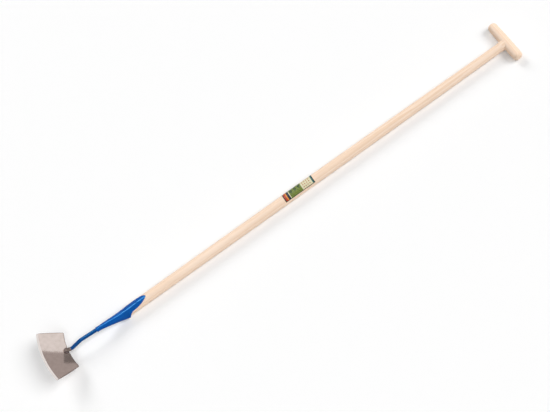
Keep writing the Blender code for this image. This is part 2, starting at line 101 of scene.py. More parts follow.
def new_finish(name):
    """An empty material, its tree, and the output of its object coordinates in metres."""
    material = bpy.data.materials.new(name)
    material.use_nodes = True
    tree = material.node_tree
    tree.nodes.clear()
    return material, tree, add_node(tree, "ShaderNodeTexCoord").outputs["Object"]


def dress(node, material):
    """Puts a finish on one of the model's own solids, which is shown as it is."""
    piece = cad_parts[node]
    piece.data.materials.clear()
    piece.data.materials.append(material)


lean = math.radians(BLADE_ANGLE + LYING_TILT)
blade_back = Vector((math.cos(lean), 0.0, -math.sin(lean)))
blade_up = Vector((math.sin(lean), 0.0, math.cos(lean)))
heel = laid(*REAR_EDGE_MIDDLE)
heel_reach = heel.dot(blade_back)
heated = heel - HEAT_AHEAD_OF_HEEL * blade_back + HEAT_ABOVE_PLATE * blade_up

# Stainless steel, cold rolled: a slightly warm mirror, blurred a little by the lines that the
# rolls leave. They are drawn 1.1 mm apart so that they show
steel, tree, place = new_finish("stainless_steel_cold_rolled")
across = add_node(tree, "ShaderNodeMapping", {
    "Vector": place, "Scale": (grain(71.4), grain(1.11), grain(71.4))})
lines = add_node(tree, "ShaderNodeTexNoise", {"Vector": across.outputs[0], "Scale": 1.0, "Detail": 3.0})
clouds = add_node(tree, "ShaderNodeTexNoise", {"Vector": place, "Scale": grain(11.1), "Detail": 4.0})
sheen = add_node(tree, "ShaderNodeMix", {0: clouds.outputs[0], 6: linear("#CBBDB6"), 7: linear("#DFD2CC")},
                 data_type="RGBA")
# Heat colours in ragged rings, about 3 to 10 mm from the foot's middle: brown scale, violet,
# pale violet and straw
from_foot = add_node(tree, "ShaderNodeVectorMath", {0: place, 1: heated}, operation="DISTANCE")
wander = add_node(tree, "ShaderNodeMath", {
    0: clouds.outputs[0], 1: HEAT_WANDERS, 2: from_foot.outputs["Value"]}, operation="MULTIPLY_ADD")
ring = add_node(tree, "ShaderNodeMapRange", {
    "Value": wander.outputs[0], "From Min": HEAT_STARTS, "From Max": HEAT_ENDS})
tint = add_node(tree, "ShaderNodeValToRGB", {0: ring.outputs[0]}, stops=(
    (0.00, linear("#5E4A43")), (0.25, linear("#75656C")), (0.50, linear("#A6979A")),
    (0.75, linear("#D8CCC4")), (1.00, linear("#FFFFFF"))))
plate = add_node(tree, "ShaderNodeMix", {0: 1.0, 6: sheen.outputs[2], 7: tint.outputs[0]},
                 data_type="RGBA", blend_type="MULTIPLY")
# The ground edge leans off the plate. A stone leaves it matt and even
normal = add_node(tree, "ShaderNodeNewGeometry")
facing = add_node(tree, "ShaderNodeVectorMath", {0: normal.outputs["True Normal"], 1: blade_up},
                  operation="DOT_PRODUCT")
ground = add_node(tree, "ShaderNodeMath", {
    0: facing.outputs["Value"], 1: math.cos(math.radians(GRIND_LEAN)), 2: GRIND_LEAN_SLACK},
    operation="COMPARE")
# A margin about 1.5 mm wide along the sides and the rear is darkened: painted shade, standing in for the
# dark reflection along the plate's cut edges
behind = add_node(tree, "ShaderNodeVectorMath", {0: place, 1: blade_back}, operation="DOT_PRODUCT")
beside = add_node(tree, "ShaderNodeSeparateXYZ", {0: place})
beside = add_node(tree, "ShaderNodeMath", {0: beside.outputs[1]}, operation="ABSOLUTE")
side_edge = SIDE_SLANT * heel_reach + SIDE_AT_HEEL
to_side = add_node(tree, "ShaderNodeMath", {
    0: behind.outputs["Value"], 1: SIDE_SLANT, 2: beside.outputs[0]}, operation="MULTIPLY_ADD")
to_side = add_node(tree, "ShaderNodeMapRange", {
    "Value": to_side.outputs[0], "From Min": side_edge - MARGIN_STARTS,
    "From Max": side_edge - MARGIN_IS_FULL})
hollow = add_node(tree, "ShaderNodeMath", {0: beside.outputs[0], 1: 2.0}, operation="POWER")
to_rear = add_node(tree, "ShaderNodeMath", {
    0: hollow.outputs[0], 1: -REAR_CURVE, 2: behind.outputs["Value"]}, operation="MULTIPLY_ADD")
to_rear = add_node(tree, "ShaderNodeMapRange", {
    "Value": to_rear.outputs[0], "From Min": heel_reach - MARGIN_STARTS,
    "From Max": heel_reach - MARGIN_IS_FULL})
edge_painted_shade = add_node(tree, "ShaderNodeMath", {
    0: to_side.outputs[0], 1: to_rear.outputs[0]}, operation="MAXIMUM")
# Painted shade: the margin takes this darker grey
plate = add_node(tree, "ShaderNodeMix", {0: edge_painted_shade.outputs[0], 6: plate.outputs[2], 7: linear("#94867F")},
                 data_type="RGBA")
colour = add_node(tree, "ShaderNodeMix", {0: ground.outputs[0], 6: plate.outputs[2], 7: linear("#D0C8C4")},
                  data_type="RGBA")
metal = add_node(tree, "ShaderNodeMapRange", {"Value": ground.outputs[0], "To Min": 1.0, "To Max": 0.15})
rolled = add_node(tree, "ShaderNodeMapRange", {"Value": lines.outputs[0], "To Min": 0.012, "To Max": 0.028})
rough = add_node(tree, "ShaderNodeMix", {
    0: ground.outputs[0], 2: rolled.outputs[0], 3: 0.6}, data_type="FLOAT")
relief = add_node(tree, "ShaderNodeBump", {
    "Strength": 0.01, "Distance": 0.0002, "Height": lines.outputs[0]})
shader = add_node(tree, "ShaderNodeBsdfPrincipled", {
    "Base Color": colour.outputs[2], "Metallic": metal.outputs[0], "Roughness": rough.outputs[0],
    "Normal": relief.outputs[0]})
add_node(tree, "ShaderNodeOutputMaterial", {"Surface": shader.outputs[0]})
dress("blade", steel)


# Neck. A round mild steel bar, bent hot to a swan neck. Its end is hammered flat and lapped on
# the blade. The paint stops short of the foot, which the weld has left bare and brown.
BAR_RADIUS = 0.0056
FOOT_HALF_WIDTH = 0.0060
FOOT_HALF_HEIGHT = 0.0032
FOOT_LAP = 0.0105
FOOT_TAIL = 0.0090
FOOT_GAP = 0.0003
HEEL_BEND = 0.012
CROWN = (-0.1590, 0.0, 0.02344)
CROWN_BEND = 0.026
SLEEVE_END = (-0.1030, 0.0, 0.01764)
SLEEVE_SLOPE = 0.16
THROAT_LENGTH = 0.0060
THROAT_BEND = 0.040
BAR_IN_SOCKET = 0.0300
TIP_STOPS_AT = 0.995
PAINT_ENDS_AT = -0.7150
PAINT_FADES_IN = 0.003
PAINT_EDGE_WANDERS = 0.004
FOLDS_SHOW_FROM = 35.0


def blue_enamel(name, deep="#00428F", thin="#0055B2", bare_from=None):
    """Stoved gloss enamel: deep blue, with orange peel 2.4 mm across, and paler where it lies thin.
    Short of bare_from along X the metal is bare, under brown scale."""
    material, tree, place = new_finish(name)
    peel = add_node(tree, "ShaderNodeTexNoise", {"Vector": place, "Scale": grain(2.38), "Detail": 2.0})
    runs = add_node(tree, "ShaderNodeTexNoise", {"Vector": place, "Scale": grain(18.2), "Detail": 3.0})
    paint = add_node(tree, "ShaderNodeMix", {0: runs.outputs[0], 6: linear(deep), 7: linear(thin)},
                     data_type="RGBA")
    relief = add_node(tree, "ShaderNodeBump", {
        "Strength": 0.10, "Distance": 0.0003, "Height": peel.outputs[0]})
    enamel = add_node(tree, "ShaderNodeBsdfPrincipled", {
        "Base Color": paint.outputs[2], "Roughness": 0.08, "Specular IOR Level": 0.5,
        "Specular Tint": (0.14, 0.58, 1.0, 1.0), "Normal": relief.outputs[0]})
    if bare_from is None:
        add_node(tree, "ShaderNodeOutputMaterial", {"Surface": enamel.outputs[0]})
        return material
    scale = add_node(tree, "ShaderNodeMix", {
        0: runs.outputs[0], 6: linear("#5A4F4A"), 7: linear("#86776F")}, data_type="RGBA")
    bare = add_node(tree, "ShaderNodeBsdfPrincipled", {
        "Base Color": scale.outputs[2], "Metallic": 0.8, "Roughness": 0.45, "Normal": relief.outputs[0]})
    along = add_node(tree, "ShaderNodeSeparateXYZ", {0: place})
    ragged = add_node(tree, "ShaderNodeMath", {
        0: peel.outputs[0], 1: PAINT_EDGE_WANDERS, 2: along.outputs[0]}, operation="MULTIPLY_ADD")
    painted = add_node(tree, "ShaderNodeMapRange", {
        "Value": ragged.outputs[0], "From Min": bare_from, "From Max": bare_from + PAINT_FADES_IN})
    both = add_node(tree, "ShaderNodeMixShader", {
        0: painted.outputs[0], 1: bare.outputs[0], 2: enamel.outputs[0]})
    add_node(tree, "ShaderNodeOutputMaterial", {"Surface": both.outputs[0]})
    return material


def new_maker(name, **sizes):
    """An empty Geometry Nodes tree with a named input for each size, and those inputs."""
    tree = bpy.data.node_groups.new(name, "GeometryNodeTree")
    for way in ("INPUT", "OUTPUT"):
        tree.interface.new_socket("Geometry", in_out=way, socket_type="NodeSocketGeometry")
    for size, kind in sizes.items():
        tree.interface.new_socket(size, in_out="INPUT", socket_type="NodeSocket" + kind)
    return tree, add_node(tree, "NodeGroupInput").outputs


def end_maker(tree, shape, material):
    """Ends a maker: shading smooth up to the folds, real geometry and the material."""
    fold = add_node(tree, "GeometryNodeInputMeshEdgeAngle")
    sharp = add_node(tree, "ShaderNodeMath", {0: fold.outputs[0], 1: math.radians(FOLDS_SHOW_FROM)},
                     operation="GREATER_THAN")
    smooth = add_node(tree, "GeometryNodeSetShadeSmooth", {0: shape})
    smooth = add_node(tree, "GeometryNodeSetShadeSmooth", {
        0: smooth.outputs[0], "Selection": sharp.outputs[0], "Shade Smooth": False}, domain="EDGE")
    real = add_node(tree, "GeometryNodeRealizeInstances", {0: smooth.outputs[0]})
    painted = add_node(tree, "GeometryNodeSetMaterial", {0: real.outputs[0], "Material": material})
    add_node(tree, "NodeGroupOutput", {0: painted.outputs[0]})


def make_piece(name, node, maker, path, **sizes):
    """A plain mesh grown by a maker, in place of a solid. Each point of the path has X, Y, Z and
    one size, which the maker reads."""
    line = bpy.data.meshes.new(name)
    line.from_pydata([point[:3] for point in path], [(i, i + 1) for i in range(len(path) - 1)], [])
    values = line.attributes.new("size", "FLOAT", "POINT")
    for value, point in zip(values.data, path):
        value.value = point[3]
    piece = bpy.data.objects.new(name, line)
    bpy.context.scene.collection.objects.link(piece)
    modifier = piece.modifiers.new(maker.name, "NODES")
    modifier.node_group = maker
    for item in maker.interface.items_tree:
        if item.name in sizes:
            modifier[item.identifier] = sizes[item.name]
    graph = bpy.context.evaluated_depsgraph_get()
    mesh = bpy.data.meshes.new_from_object(piece.evaluated_get(graph))
    piece.modifiers.clear()
    piece.data = mesh
    finish = mesh.materials[-1]
    mesh.materials.clear()
    mesh.materials.append(finish)
    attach(piece, "root")
    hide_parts(node)
    return piece


# A bar bent through corners: round along its length, and hammered to a flat oval at the foot
forged_bar, size = new_maker("forged_bar", bar_radius="Float", foot_half_width="Float",
                             foot_half_height="Float", foot_length="Float", draw_length="Float",
                             hammer_marks="Float", marks_per_metre="Float", points_a_bend="Int",
                             sides="Int", spacing="Float", metal="Material")
line = add_node(forged_bar, "GeometryNodeMeshToCurve", {0: size["Geometry"]})
bend = add_node(forged_bar, "GeometryNodeInputNamedAttribute", {"Name": "size"}, data_type="FLOAT")
bent = add_node(forged_bar, "GeometryNodeFilletCurve", {
    "Curve": line.outputs[0], "Radius": bend.outputs[0], "Count": size["points_a_bend"]}, mode="POLY")
even = add_node(forged_bar, "GeometryNodeResampleCurve", {
    "Curve": bent.outputs[0], "Length": size["spacing"]}, mode="LENGTH")
spot = add_node(forged_bar, "GeometryNodeInputPosition")
core = add_node(forged_bar, "GeometryNodeStoreNamedAttribute", {
    0: even.outputs[0], "Name": "core", "Value": spot.outputs[0]}, data_type="FLOAT_VECTOR")
walked = add_node(forged_bar, "GeometryNodeSplineParameter")
core = add_node(forged_bar, "GeometryNodeStoreNamedAttribute", {
    0: core.outputs[0], "Name": "walked", "Value": walked.outputs["Length"]}, data_type="FLOAT")
section = add_node(forged_bar, "GeometryNodeCurvePrimitiveCircle", {
    "Resolution": size["sides"], "Radius": 1.0})
tube = add_node(forged_bar, "GeometryNodeCurveToMesh", {
    "Curve": core.outputs[0], "Profile Curve": section.outputs[0], "Fill Caps": True})
walked = add_node(forged_bar, "GeometryNodeInputNamedAttribute", {"Name": "walked"}, data_type="FLOAT")
core = add_node(forged_bar, "GeometryNodeInputNamedAttribute", {"Name": "core"}, data_type="FLOAT_VECTOR")
drawn = add_node(forged_bar, "ShaderNodeMath", {
    0: size["foot_length"], 1: size["draw_length"]}, operation="ADD")
wide = add_node(forged_bar, "ShaderNodeMapRange", {
    "Value": walked.outputs[0], "From Min": size["foot_length"], "From Max": drawn.outputs[0],
    "To Min": size["foot_half_width"], "To Max": size["bar_radius"]}, interpolation_type="SMOOTHSTEP")
high = add_node(forged_bar, "ShaderNodeMapRange", {
    "Value": walked.outputs[0], "From Min": size["foot_length"], "From Max": drawn.outputs[0],
    "To Min": size["foot_half_height"], "To Max": size["bar_radius"]}, interpolation_type="SMOOTHSTEP")
marks = add_node(forged_bar, "ShaderNodeTexNoise", {
    "Vector": spot.outputs[0], "Scale": size["marks_per_metre"], "Detail": 1.0})
blows = add_node(forged_bar, "ShaderNodeMapRange", {
    "Value": walked.outputs[0], "From Min": 0.0, "From Max": drawn.outputs[0],
    "To Min": size["hammer_marks"], "To Max": 0.0})
dent = add_node(forged_bar, "ShaderNodeMath", {
    0: marks.outputs[0], 1: blows.outputs[0]}, operation="MULTIPLY")
high = add_node(forged_bar, "ShaderNodeMath", {
    0: high.outputs[0], 1: dent.outputs[0]}, operation="SUBTRACT")
# The tip is rounded, and stops just short of a point so that its cap keeps a width
short = add_node(forged_bar, "ShaderNodeMapRange", {
    "Value": walked.outputs[0], "From Min": 0.0, "From Max": size["foot_half_width"],
    "To Min": TIP_STOPS_AT, "To Max": 0.0})
squared = add_node(forged_bar, "ShaderNodeMath", {0: short.outputs[0], 1: 2.0}, operation="POWER")
left = add_node(forged_bar, "ShaderNodeMath", {0: 1.0, 1: squared.outputs[0]}, operation="SUBTRACT")
tip = add_node(forged_bar, "ShaderNodeMath", {0: left.outputs[0]}, operation="SQRT")
halves = add_node(forged_bar, "ShaderNodeCombineXYZ", {
    0: high.outputs[0], 1: wide.outputs[0], 2: high.outputs[0]})
halves = add_node(forged_bar, "ShaderNodeVectorMath", {0: halves.outputs[0], "Scale": tip.outputs[0]},
                  operation="SCALE")
out = add_node(forged_bar, "ShaderNodeVectorMath", {0: spot.outputs[0], 1: core.outputs[0]},
               operation="SUBTRACT")
shaped = add_node(forged_bar, "ShaderNodeVectorMath", {
    0: out.outputs[0], 1: halves.outputs[0], 2: core.outputs[0]}, operation="MULTIPLY_ADD")
neck = add_node(forged_bar, "GeometryNodeSetPosition", {0: tube.outputs[0], "Position": shaped.outputs[0]})
end_maker(forged_bar, neck.outputs[0], size["metal"])

over_heel = heel + (FOOT_HALF_HEIGHT + FOOT_GAP) * blade_up
foot_tip = over_heel - FOOT_LAP * blade_back
sleeve_end = laid(*SLEEVE_END)
sleeve_axis = (laid(-1.0, 0.0, SLEEVE_SLOPE) - laid(0.0, 0.0, 0.0)).normalized()
neck_corners = [
    (*foot_tip, 0.0),
    (*(over_heel + FOOT_TAIL * blade_back), HEEL_BEND),
    (*laid(*CROWN), CROWN_BEND),
    (*(sleeve_end + THROAT_LENGTH * sleeve_axis), THROAT_BEND),
    (*(sleeve_end - BAR_IN_SOCKET * sleeve_axis), 0.0),
]
# The bar's enamel takes darker blues than the socket's: painted shade on the thin bar
make_piece("neck_bar", "neck", forged_bar, neck_corners, bar_radius=BAR_RADIUS,
           foot_half_width=FOOT_HALF_WIDTH, foot_half_height=FOOT_HALF_HEIGHT, foot_length=FOOT_LAP,
           draw_length=0.015, hammer_marks=0.0009, marks_per_metre=260.0, points_a_bend=12, sides=40,
           spacing=0.0008,
           metal=blue_enamel("mild_steel_bar_blue_enamel", deep="#003570", thin="#004690",
                             bare_from=PAINT_ENDS_AT))


# Blade weld. A bead of weld metal run round the sides and the tip of the foot, in overlapping
# ripples. It isn't painted, so it keeps the brown and violet of the heat.
BEAD_RADIUS = 0.0018
BEAD_OFFSET = 0.0072
BEAD_HEIGHT = 0.0012
BEAD_STOPS_SHORT = 0.0013


def round_body(tree, curve, sides, radius):
    """A closed round body along a curve, with its own radius at each point."""
    section = add_node(tree, "GeometryNodeCurvePrimitiveCircle", {"Resolution": sides, "Radius": 1.0})
    return add_node(tree, "GeometryNodeCurveToMesh", {
        "Curve": curve.outputs[0], "Profile Curve": section.outputs[0], "Scale": radius.outputs[0],
        "Fill Caps": True})


# A bead along a path: each ripple thins towards the next, as the puddle froze
weld_bead, size = new_maker("weld_bead", bead_radius="Float", ripple_pitch="Float", ripple_depth="Float",
                            points_a_ripple="Float", unevenness="Float", lumps_per_metre="Float",
                            sides="Int", metal="Material")
line = add_node(weld_bead, "GeometryNodeMeshToCurve", {0: size["Geometry"]})
gap = add_node(weld_bead, "ShaderNodeMath", {0: size["ripple_pitch"], 1: size["points_a_ripple"]},
               operation="DIVIDE")
even = add_node(weld_bead, "GeometryNodeResampleCurve", {
    "Curve": line.outputs[0], "Length": gap.outputs[0]}, mode="LENGTH")
walked = add_node(weld_bead, "GeometryNodeSplineParameter")
ripples = add_node(weld_bead, "ShaderNodeMath", {0: walked.outputs["Length"], 1: size["ripple_pitch"]},
                   operation="DIVIDE")
share = add_node(weld_bead, "ShaderNodeMath", {0: ripples.outputs[0]}, operation="FRACT")
drop = add_node(weld_bead, "ShaderNodeMath", {0: share.outputs[0], 1: size["ripple_depth"]},
                operation="MULTIPLY")
wave = add_node(weld_bead, "ShaderNodeTexNoise", {"Scale": size["lumps_per_metre"], "Detail": 1.0})
swell = add_node(weld_bead, "ShaderNodeMath", {0: wave.outputs[0], 1: size["unevenness"]},
                 operation="MULTIPLY")
thick = add_node(weld_bead, "ShaderNodeMath", {0: size["bead_radius"], 1: drop.outputs[0]},
                 operation="SUBTRACT")
thick = add_node(weld_bead, "ShaderNodeMath", {0: thick.outputs[0], 1: swell.outputs[0]}, operation="ADD")
bead = round_body(weld_bead, even, size["sides"], thick)
end_maker(weld_bead, bead.outputs[0], size["metal"])

# Weld metal as the torch left it: brown scale with violet and straw where it was thin
weld_metal, tree, place = new_finish("weld_metal_heat_tinted")
stain = add_node(tree, "ShaderNodeTexNoise", {"Vector": place, "Scale": grain(2.63), "Detail": 3.0})
tint = add_node(tree, "ShaderNodeValToRGB", {0: stain.outputs[0]}, stops=(
    (0.30, linear("#544842")), (0.48, linear("#716460")), (0.60, linear("#7C7076")),
    (0.72, linear("#9A8672"))))
grit = add_node(tree, "ShaderNodeTexNoise", {"Vector": place, "Scale": grain(0.556), "Detail": 2.0})
relief = add_node(tree, "ShaderNodeBump", {"Strength": 0.3, "Distance": 0.0002, "Height": grit.outputs[0]})
shader = add_node(tree, "ShaderNodeBsdfPrincipled", {
    "Base Color": tint.outputs[0], "Metallic": 0.85, "Roughness": 0.42, "Normal": relief.outputs[0]})
add_node(tree, "ShaderNodeOutputMaterial", {"Surface": shader.outputs[0]})

across = Vector((0.0, 1.0, 0.0))
foot_end = foot_tip + FOOT_HALF_WIDTH * blade_back - (FOOT_HALF_HEIGHT - BEAD_HEIGHT) * blade_up
to_edge = (FOOT_LAP - FOOT_HALF_WIDTH - BEAD_STOPS_SHORT) * blade_back
bead_path = [foot_end + to_edge + BEAD_OFFSET * across]
for angle in range(0, 181, 6):
    turn = math.radians(angle)
    bead_path.append(foot_end + BEAD_OFFSET * (math.cos(turn) * across - math.sin(turn) * blade_back))
bead_path.append(foot_end + to_edge - BEAD_OFFSET * across)
make_piece("blade_weld_bead", "blade_weld", weld_bead, [(*point, 0.0) for point in bead_path],
           bead_radius=BEAD_RADIUS, ripple_pitch=0.0016, ripple_depth=0.0004, points_a_ripple=7.0,
           unevenness=0.0004, lumps_per_metre=300.0, sides=16, metal=weld_metal)


# Socket. Mild steel sheet rolled to a cone over the end of the shaft, split along its underside,
# with its rim cut on a slant and drawn out to a tongue. It is welded to the bar and enamelled.
CORNERS_JOIN_WITHIN = 0.000002

# The solid's own sheet with its corners joined, so that the curves shade smooth up to the cut edge
joined = bmesh.new()
joined.from_mesh(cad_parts["socket"].data)
bmesh.ops.remove_doubles(joined, verts=joined.verts, dist=CORNERS_JOIN_WITHIN)
sheet = bpy.data.meshes.new("socket_sheet")
joined.to_mesh(sheet)
joined.free()
sheet.shade_smooth()
sheet.set_sharp_from_angle(angle=math.radians(FOLDS_SHOW_FROM))
sheet.materials.clear()
sheet.materials.append(blue_enamel("mild_steel_sheet_blue_enamel"))
piece = bpy.data.objects.new("socket_sheet", sheet)
bpy.context.scene.collection.objects.link(piece)
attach(piece, "root")
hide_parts("socket")


# Socket weld. One bead round the bar, in the corner at the end of the socket's sleeve, with
# ripples like the blade's. It is enamelled together with the socket.
RING_BEAD_RADIUS = 0.0017
RING_PAST_SLEEVE = 0.0010
RING_OFF_BAR = 0.0004

ring_up = Vector((sleeve_axis.z, 0.0, -sleeve_axis.x))
ring_middle = sleeve_end + RING_PAST_SLEEVE * sleeve_axis
ring_path = []
for angle in range(-180, 181, 10):
    turn = math.radians(angle)
    out = math.cos(turn) * ring_up + math.sin(turn) * across
    ring_path.append((*(ring_middle + (BAR_RADIUS + RING_OFF_BAR) * out), 0.0))
make_piece("socket_weld_bead", "socket_weld", weld_bead, ring_path, bead_radius=RING_BEAD_RADIUS,
           ripple_pitch=0.0020, ripple_depth=0.0004, points_a_ripple=7.0, unevenness=0.0005,
           lumps_per_metre=300.0, sides=16, metal=blue_enamel("weld_bead_blue_enamel"))


# Nail. One round mild steel nail, driven through the tongue into the ash so that the socket
# can't turn. Its domed head is painted over with the socket.
NAIL_SEAT = (0.0340, 0.0, 0.016293)
NAIL_LENGTH = 0.0200
NAIL_POINT_LENGTH = 0.0025
NAIL_POINT_RADIUS = 0.0004
NAIL_SHANK_RADIUS = 0.0014
NAIL_HEAD_RADIUS = 0.0032
NAIL_HEAD_EDGE = 0.0003
NAIL_HEAD_STEP = 0.00002
NAIL_HEAD_DOME = 0.0013
NAIL_CROWN_RADIUS = 0.0003

# A piece turned round a path: each point of the path carries the radius there
turned_piece, size = new_maker("turned_piece", sides="Int", material="Material")
line = add_node(turned_piece, "GeometryNodeMeshToCurve", {0: size["Geometry"]})
radius = add_node(turned_piece, "GeometryNodeInputNamedAttribute", {"Name": "size"}, data_type="FLOAT")
body = round_body(turned_piece, line, size["sides"], radius)
end_maker(turned_piece, body.outputs[0], size["material"])

# Depth below the seat and radius there, from the point up over the dome
nail_profile = [(NAIL_LENGTH, NAIL_POINT_RADIUS), (NAIL_LENGTH - NAIL_POINT_LENGTH, NAIL_SHANK_RADIUS),
                (0.0, NAIL_SHANK_RADIUS), (-NAIL_HEAD_STEP, NAIL_HEAD_RADIUS - NAIL_HEAD_EDGE),
                (-NAIL_HEAD_EDGE, NAIL_HEAD_RADIUS)]
for angle in range(15, 90, 12):
    turn = math.radians(angle)
    nail_profile.append((-NAIL_HEAD_EDGE - NAIL_HEAD_DOME * math.sin(turn),
                         NAIL_HEAD_RADIUS * math.cos(turn)))
nail_profile.append((-NAIL_HEAD_EDGE - NAIL_HEAD_DOME, NAIL_CROWN_RADIUS))
seat = laid(*NAIL_SEAT)
nail_path = [(seat.x, seat.y, seat.z - depth, radius) for depth, radius in nail_profile]
make_piece("socket_nail_head", "socket_nail", turned_piece, nail_path, sides=28,
           material=blue_enamel("nail_head_blue_enamel"))


# Shaft. One length of ash, turned round, sanded and satin varnished. It thins towards the
# crosspiece, is shaved to a cone inside the socket, and ends in a tenon that the wedge spreads.
SHAFT_RADIUS = 0.0152
SHAFT_TOP_RADIUS = 0.0123
CONE_LENGTH = 0.0940
CONE_RISE = 0.0176
RIM_DROP = 0.0014
TONGUE_LENGTH = 0.0660
GRIP_FROM_RIM = 1.2880
GRIP_OFFSET = 0.0060
GRIP_RADIUS = 0.0142
TENON_RADIUS = 0.0080
TENON_SHRINKS = 0.00015
TENON_STARTS_BEFORE = 0.010
TENON_PAST_BACK = 0.0005
TENON_STEP = 0.00002
TENON_STEP_NARROWS = 0.12
RING_SPACING = 0.0042
RING_BOW = 0.0060
PORES_COUNT_FOR = 0.35
WAVES_COUNT_FOR = 0.8


def smooth_step(t):
    return t * t * (3.0 - 2.0 * t)


def wood_middle(x):
    """The middle of the wood: dropped a little at the rim, and climbing inside the cone."""
    if x >= 0.0:
        return laid(x, 0.0, -RIM_DROP * (1.0 - smooth_step(min(x / TONGUE_LENGTH, 1.0))))
    t = -x / CONE_LENGTH
    climb = CONE_RISE * smooth_step(t) + SLEEVE_SLOPE * CONE_LENGTH * (t**3 - t**2)
    return laid(x, 0.0, climb - RIM_DROP)


def turned_ash(name, along, pith, pale="#FFE6D0", dark="#F5D5B8"):
    """Ash under satin varnish: rings round a far pith, seen as long streaks, and coarse pores. The
    grain follows the axis of that number. Oak has the same pattern in darker colours."""
    material, tree, place = new_finish(name)
    # Slow waves in the grain, 14 mm wide and a third of a metre long
    stretch = [grain(14.3)] * 3
    stretch[along] = grain(333.0)
    drawn = add_node(tree, "ShaderNodeMapping", {"Vector": place, "Scale": stretch})
    wave = add_node(tree, "ShaderNodeTexNoise", {"Vector": drawn.outputs[0], "Scale": 1.0, "Detail": 2.0})
    # Growth rings 4 mm apart round the pith. They bow, so the cut shows flames and streaks
    flat = [1.0, 1.0, 1.0]
    flat[along] = 0.0
    section = add_node(tree, "ShaderNodeVectorMath", {0: place, 1: flat}, operation="MULTIPLY")
    radius = add_node(tree, "ShaderNodeVectorMath", {0: section.outputs[0], 1: pith}, operation="DISTANCE")
    bent = add_node(tree, "ShaderNodeMath", {0: wave.outputs[0], 1: RING_BOW, 2: radius.outputs["Value"]},
                    operation="MULTIPLY_ADD")
    ring = add_node(tree, "ShaderNodeMath", {0: bent.outputs[0], 1: RING_SPACING}, operation="DIVIDE")
    share = add_node(tree, "ShaderNodeMath", {0: ring.outputs[0]}, operation="FRACT")
    late = add_node(tree, "ShaderNodeMapRange", {
        "Value": share.outputs[0], "From Min": 0.1, "From Max": 0.9}, interpolation_type="SMOOTHSTEP")
    # Open pores, 0.7 mm wide so that they show, and 30 mm long
    fine = [grain(0.667)] * 3
    fine[along] = grain(28.6)
    pores_at = add_node(tree, "ShaderNodeMapping", {"Vector": place, "Scale": fine})
    pores = add_node(tree, "ShaderNodeTexNoise", {
        "Vector": pores_at.outputs[0], "Scale": 1.0, "Detail": 1.0})
    mixed = add_node(tree, "ShaderNodeMath", {
        0: pores.outputs[0], 1: PORES_COUNT_FOR, 2: late.outputs[0]}, operation="MULTIPLY_ADD")
    streak = add_node(tree, "ShaderNodeMath", {
        0: wave.outputs[0], 1: WAVES_COUNT_FOR, 2: mixed.outputs[0]}, operation="MULTIPLY_ADD")
    share = add_node(tree, "ShaderNodeMapRange", {
        "Value": streak.outputs[0], "From Min": 0.3, "From Max": 1.6})
    wood = add_node(tree, "ShaderNodeMix", {0: share.outputs[0], 6: linear(dark), 7: linear(pale)},
                    data_type="RGBA")
    relief = add_node(tree, "ShaderNodeBump", {
        "Strength": 0.12, "Distance": 0.0002, "Height": pores.outputs[0]})
    shader = add_node(tree, "ShaderNodeBsdfPrincipled", {
        "Base Color": wood.outputs[2], "Roughness": 0.48, "Specular IOR Level": 0.2,
        "Normal": relief.outputs[0]})
    add_node(tree, "ShaderNodeOutputMaterial", {"Surface": shader.outputs[0]})
    return material


# A shaft turned by rule: a cone inside the socket, a swell under its tongue, a slow taper, and a
# flare at the top
turned_shaft, size = new_maker("turned_shaft", thick_radius="Float", thin_radius="Float", taper="Float",
                               rim_radius="Float", cone_slope="Float", tongue_length="Float",
                               grip_from_rim="Float", shoulder="Float", flare="Float",
                               flare_length="Float", sanding="Float", waves_per_metre="Float",
                               sides="Int", spacing="Float", wood="Material")
line = add_node(turned_shaft, "GeometryNodeMeshToCurve", {0: size["Geometry"]})
even = add_node(turned_shaft, "GeometryNodeResampleCurve", {
    "Curve": line.outputs[0], "Length": size["spacing"]}, mode="LENGTH")
station = add_node(turned_shaft, "GeometryNodeInputNamedAttribute", {"Name": "size"}, data_type="FLOAT")
cone = add_node(turned_shaft, "ShaderNodeMath", {0: station.outputs[0], 1: size["cone_slope"],
                                                 2: size["rim_radius"]}, operation="MULTIPLY_ADD")
under_tongue = add_node(turned_shaft, "ShaderNodeMapRange", {
    "Value": station.outputs[0], "From Min": 0.0, "From Max": size["tongue_length"],
    "To Min": size["rim_radius"], "To Max": size["thick_radius"]}, interpolation_type="SMOOTHSTEP")
along = add_node(turned_shaft, "ShaderNodeMapRange", {
    "Value": station.outputs[0], "From Min": 0.0, "From Max": size["grip_from_rim"]})
thinned = add_node(turned_shaft, "ShaderNodeMath", {
    0: along.outputs[0], 1: size["taper"]}, operation="POWER")
thinned = add_node(turned_shaft, "ShaderNodeMapRange", {
    "Value": thinned.outputs[0], "To Min": size["thick_radius"], "To Max": size["thin_radius"]})
flare_from = add_node(turned_shaft, "ShaderNodeMath", {0: size["shoulder"], 1: size["flare_length"]},
                      operation="SUBTRACT")
near = add_node(turned_shaft, "ShaderNodeMapRange", {
    "Value": station.outputs[0], "From Min": flare_from.outputs[0], "From Max": size["shoulder"]})
squared = add_node(turned_shaft, "ShaderNodeMath", {0: near.outputs[0], 1: 2.0}, operation="POWER")
flared = add_node(turned_shaft, "ShaderNodeMath", {0: squared.outputs[0], 1: size["flare"],
                                                   2: thinned.outputs[0]}, operation="MULTIPLY_ADD")
bare = add_node(turned_shaft, "ShaderNodeMath", {0: under_tongue.outputs[0], 1: flared.outputs[0]},
                operation="MINIMUM")
radius = add_node(turned_shaft, "ShaderNodeMath", {
    0: cone.outputs[0], 1: bare.outputs[0]}, operation="MINIMUM")
wave = add_node(turned_shaft, "ShaderNodeTexNoise", {"Scale": size["waves_per_metre"], "Detail": 2.0})
radius = add_node(turned_shaft, "ShaderNodeMath", {0: wave.outputs[0], 1: size["sanding"],
                                                   2: radius.outputs[0]}, operation="MULTIPLY_ADD")
body = round_body(turned_shaft, even, size["sides"], radius)
end_maker(turned_shaft, body.outputs[0], size["wood"])

ash = turned_ash("turned_ash_satin_varnish", along=0, pith=(0.0, 0.030, -0.055))
